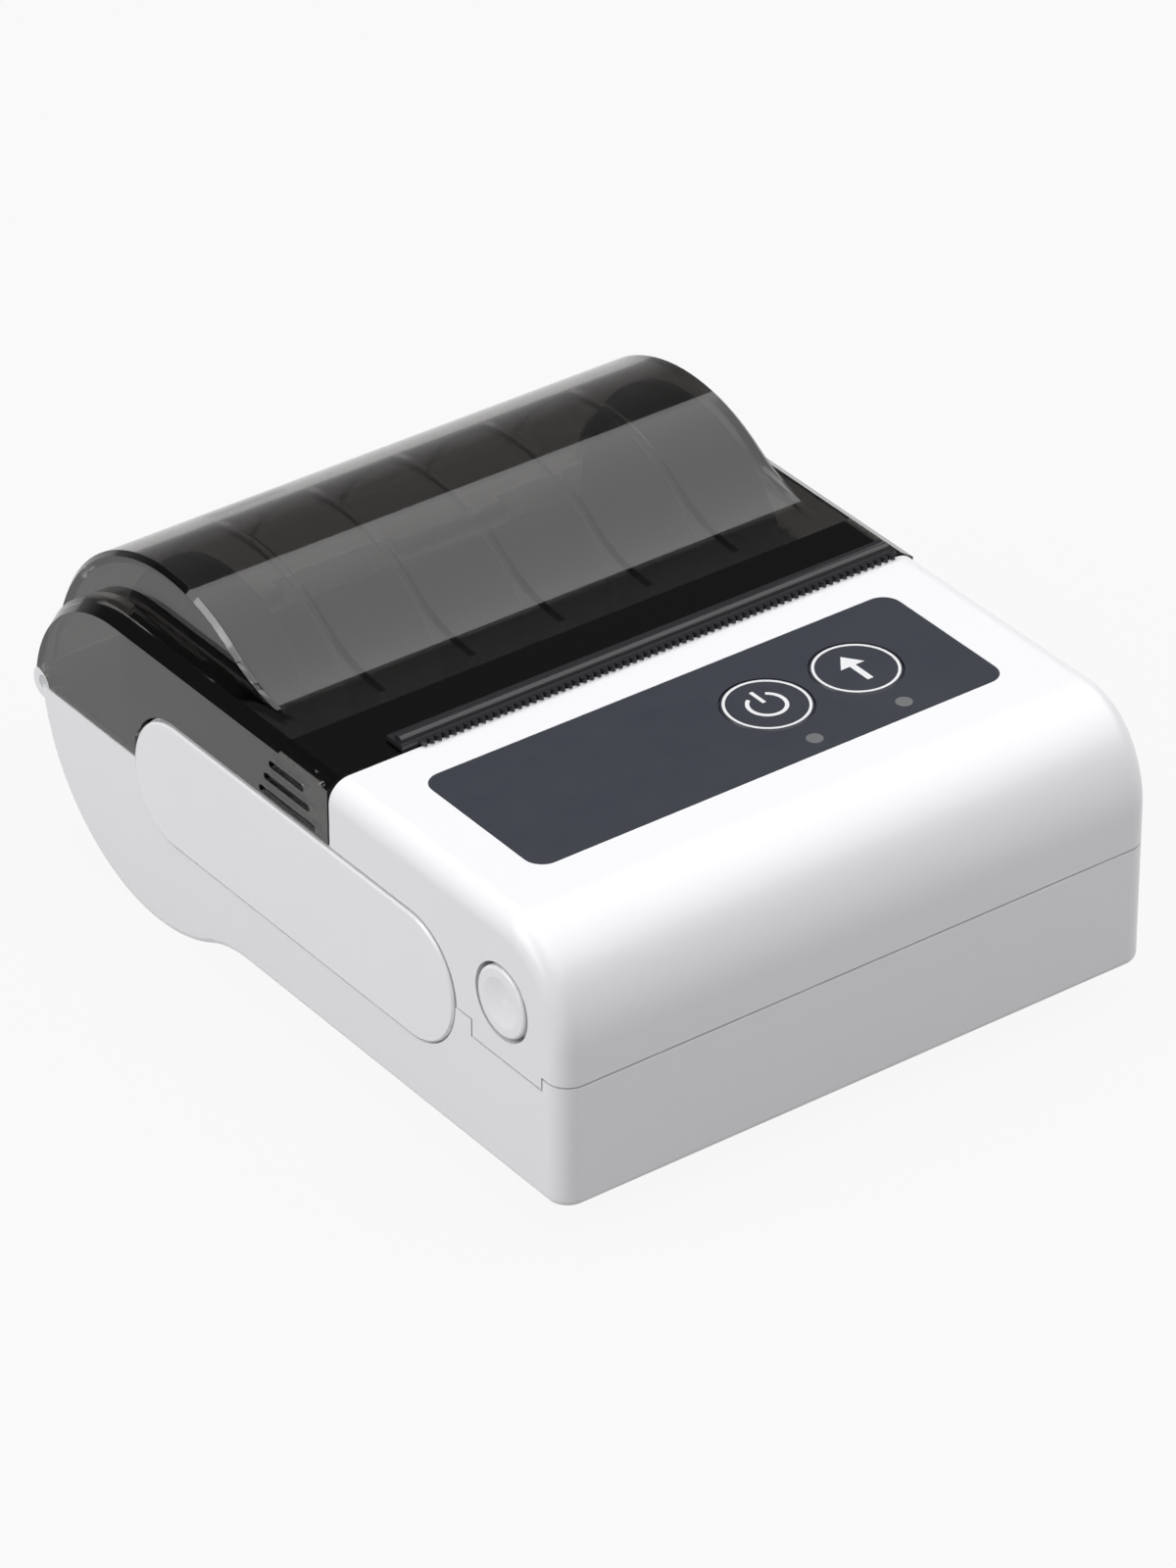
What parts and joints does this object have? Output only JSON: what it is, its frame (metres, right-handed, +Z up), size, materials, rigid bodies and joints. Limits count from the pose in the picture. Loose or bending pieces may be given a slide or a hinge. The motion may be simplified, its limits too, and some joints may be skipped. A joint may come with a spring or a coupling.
{
  "type": "portable receipt printer",
  "caption": "Small desk receipt printer: white case on a round drum, hinged smoked cover over the paper bay, tear bar, keypad and release button, with platen, gears and print head inside.",
  "frame": {"origin": "on the table, under the middle of the bounding box", "axes": "+Z up, +X to the right of somebody facing the front, +Y to the back, front at -Y"},
  "size_m": [0.1036, 0.1304, 0.0565],
  "materials": {
    "case": "gloss",
    "panel": "gloss",
    "smoke": "gloss",
    "black": "satin",
    "overlay": "satin",
    "key": "satin",
    "plunger": "matte",
    "lamp": "gloss",
    "board": "satin",
    "chip": "matte",
    "steel": "satin",
    "aluminium": "satin",
    "ceramic": "satin",
    "rubber": "matte",
    "gear": "satin",
    "bushing": "satin",
    "frame": "matte",
    "cable": "satin",
    "battery": "gloss"
  },
  "bodies": {
    "case": {"lower_case": "case", "upper_case": "case", "side_panel_left": "panel", "side_panel_right": "panel", "battery_door": "case", "rubber_feet": "rubber", "case_screws": "steel", "keypad_overlay": "overlay", "light_pipes": "lamp", "key_board": "board", "tact_switches": "chip", "key_board_screws": "steel", "main_board": "board", "board_chips": "chip", "usb_socket": "steel", "charge_socket": "chip", "battery_pack": "battery", "door_screw": "steel", "paper_bay": "black", "mechanism_frame": "frame", "paper_sensor": "black", "frame_screws": "steel", "gear_pin": "steel", "stepper_motor": "steel", "head_springs": "steel", "head_cable": "cable", "hinge_pin": "steel", "lever_pin": "steel", "release_spring": "steel"},
    "cover": {"cover": "smoke", "tear_bar": "black", "platen_holder": "black", "holder_screws": "steel", "platen_bushings": "bushing"},
    "platen": {"platen_roller": "rubber", "platen_shaft": "steel", "platen_gear": "gear"},
    "reduction": {"reduction_gear": "gear"},
    "pinion": {"motor_pinion": "gear", "motor_shaft": "steel"},
    "button": {"release_button": "case"},
    "lever": {"release_lever": "case"},
    "power": {"power_key": "key", "power_plunger": "plunger"},
    "feed": {"feed_key": "key", "feed_plunger": "plunger"},
    "head": {"print_head": "ceramic", "heat_sink": "aluminium"}
  },
  "joints": [
    {"name": "cover_hinge", "type": "hinge", "parent": "case", "child": "cover", "pos_m": [0, 0.0624, 0.0257], "axis": [-1, 0, 0], "range_deg": [0, 95]},
    {"name": "platen_spin", "type": "hinge", "parent": "cover", "child": "platen", "pos_m": [0, -0.0042, 0.0375], "axis": [1, 0, 0], "continuous": true},
    {"name": "gear_spin", "type": "hinge", "parent": "case", "child": "reduction", "pos_m": [-0.0465, -0.0066, 0.02935], "axis": [1, 0, 0], "continuous": true},
    {"name": "motor_spin", "type": "hinge", "parent": "case", "child": "pinion", "pos_m": [-0.0465, -0.01605, 0.02195], "axis": [1, 0, 0], "continuous": true},
    {"name": "button_press", "type": "slide", "parent": "case", "child": "button", "axis": [1, 0, 0], "range_m": [0, 0.002], "stiffness_N_per_m": 150, "springref_m": -0.001, "deforming": ["release_spring"]},
    {"name": "lever_turn", "type": "hinge", "parent": "case", "child": "lever", "pos_m": [-0.0425, -0.0322, 0.037], "axis": [0, 0, 1], "range_deg": [0, 5.98]},
    {"name": "power_key_press", "type": "slide", "parent": "case", "child": "power", "axis": [0, 0, -1], "range_m": [0, 0.0004], "stiffness_N_per_m": 500, "springref_m": -0.0001},
    {"name": "feed_key_press", "type": "slide", "parent": "case", "child": "feed", "axis": [0, 0, -1], "range_m": [0, 0.0004], "stiffness_N_per_m": 500, "springref_m": -0.0001},
    {"name": "head_tilt", "type": "hinge", "parent": "case", "child": "head", "pos_m": [0, -0.0118, 0.0325], "axis": [1, 0, 0], "range_deg": [0, 1.5], "stiffness_Nm_per_rad": 1, "springref_deg": -1.15}
  ],
  "couplings": [
    {"joint": "gear_spin", "follows": "platen_spin", "ratio": -1.4286},
    {"joint": "motor_spin", "follows": "platen_spin", "ratio": 4.2857},
    {"joint": "lever_turn", "follows": "button_press", "rad_per_m": 52.083}
  ]
}
